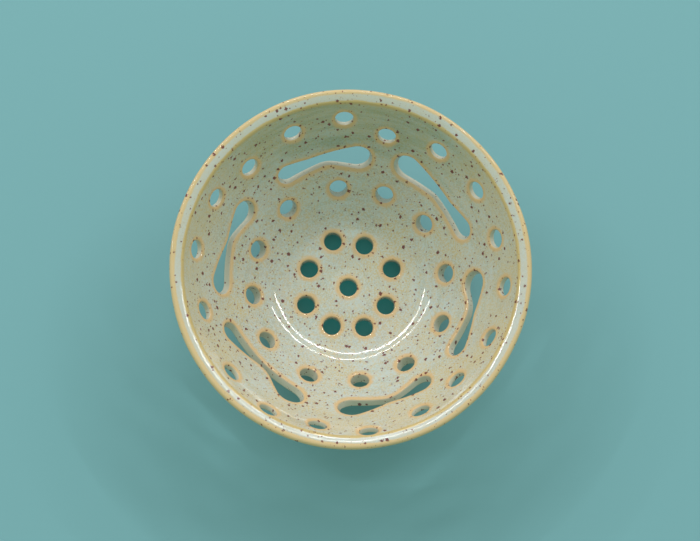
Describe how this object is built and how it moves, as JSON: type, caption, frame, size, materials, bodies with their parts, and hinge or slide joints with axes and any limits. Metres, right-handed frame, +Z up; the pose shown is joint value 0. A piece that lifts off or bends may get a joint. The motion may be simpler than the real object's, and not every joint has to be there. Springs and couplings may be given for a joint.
{
  "type": "berry colander bowl",
  "caption": "Round glazed stoneware bowl with a rolled lip and a foot ring, pierced with rings of round holes and a ring of peanut-shaped slots for rinsing and draining berries.",
  "frame": {"origin": "centre of the foot's bottom face, on the surface that the bowl stands on", "axes": "+Z up along the bowl's axis, towards its mouth; the pictured view looks steeply down into the bowl from the -Y side"},
  "size_m": [0.17, 0.17, 0.0654],
  "materials": {
    "clay": "fired speckled stoneware, matt",
    "glaze": "glossy pale blue-grey glaze over iron specks, breaking tan at the edges"
  },
  "bodies": {
    "root": {"thrown_bowl": "clay", "foot_ring": "clay", "glaze_coat": "glaze"}
  },
  "joints": []
}
